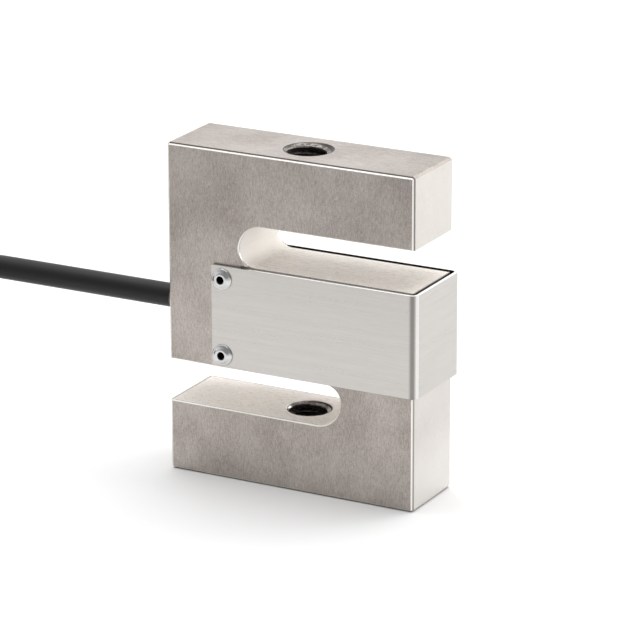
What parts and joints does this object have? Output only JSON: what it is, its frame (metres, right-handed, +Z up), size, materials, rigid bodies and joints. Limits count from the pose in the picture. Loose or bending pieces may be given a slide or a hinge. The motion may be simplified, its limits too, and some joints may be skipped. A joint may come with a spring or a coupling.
{
  "type": "s-type load cell",
  "caption": "S-shaped load cell: slotted steel block with threaded ends, a folded sheet cover on rivets round its middle bar, and a cable ending in bare leads.",
  "frame": {"origin": "on the load axis at the bottom face, the mouth of the lower mounting thread", "axes": "+Z up along the load axis, +X from the cable's side to the cover's folded end, -Y the front"},
  "size_m": [0.2276, 0.0436, 0.0635],
  "materials": {
    "nickel_plated_steel": "milled alloy steel, nickel plated, fine grain",
    "brushed_sheet": "brushed stainless sheet",
    "pad_rubber": "black rubber sheet",
    "rivet_metal": "polished aluminium",
    "mandrel_steel": "dark broken steel",
    "ferrule_brass": "nickel plated brass, dull",
    "cable_jacket": "black jacket, satin",
    "core_insulation": "insulated conductor",
    "terminal_foil": "copper on resin",
    "gauge_foil": "foil gauge on film",
    "resistor_ceramic": "chip resistor",
    "silicone_sealant": "silicone potting",
    "tie_plastic": "natural nylon band",
    "shrink_sleeve": "heat shrink tube",
    "lead_red_pvc": "insulated lead",
    "lead_white_pvc": "insulated lead",
    "lead_green_pvc": "insulated lead",
    "lead_black_pvc": "insulated lead",
    "tinned_copper": "tinned strands"
  },
  "bodies": {
    "root": {"spring_body": "nickel_plated_steel", "cover_sheet": "brushed_sheet", "cover_pad_front": "pad_rubber", "cover_pad_back": "pad_rubber", "rivet_front_upper": "rivet_metal", "rivet_front_lower": "rivet_metal", "rivet_back_upper": "rivet_metal", "rivet_back_lower": "rivet_metal", "mandrel_front_upper": "mandrel_steel", "mandrel_front_lower": "mandrel_steel", "mandrel_back_upper": "mandrel_steel", "mandrel_back_lower": "mandrel_steel", "cable_ferrule": "ferrule_brass", "cable_inner": "cable_jacket", "core_front_upper": "core_insulation", "core_front_lower": "core_insulation", "core_back_upper": "core_insulation", "core_back_lower": "core_insulation", "terminal_front": "terminal_foil", "terminal_back": "terminal_foil", "gauge_front_upper": "gauge_foil", "gauge_front_lower": "gauge_foil", "gauge_back_upper": "gauge_foil", "gauge_back_lower": "gauge_foil", "balance_resistor": "resistor_ceramic", "sealant_front": "silicone_sealant", "sealant_back": "silicone_sealant", "cable": "cable_jacket", "cable_hank": "cable_jacket", "hank_tie": "tie_plastic", "cable_end_sleeve": "shrink_sleeve", "lead_red": "lead_red_pvc", "lead_white": "lead_white_pvc", "lead_green": "lead_green_pvc", "lead_black": "lead_black_pvc", "drain_wire": "tinned_copper"}
  },
  "joints": []
}
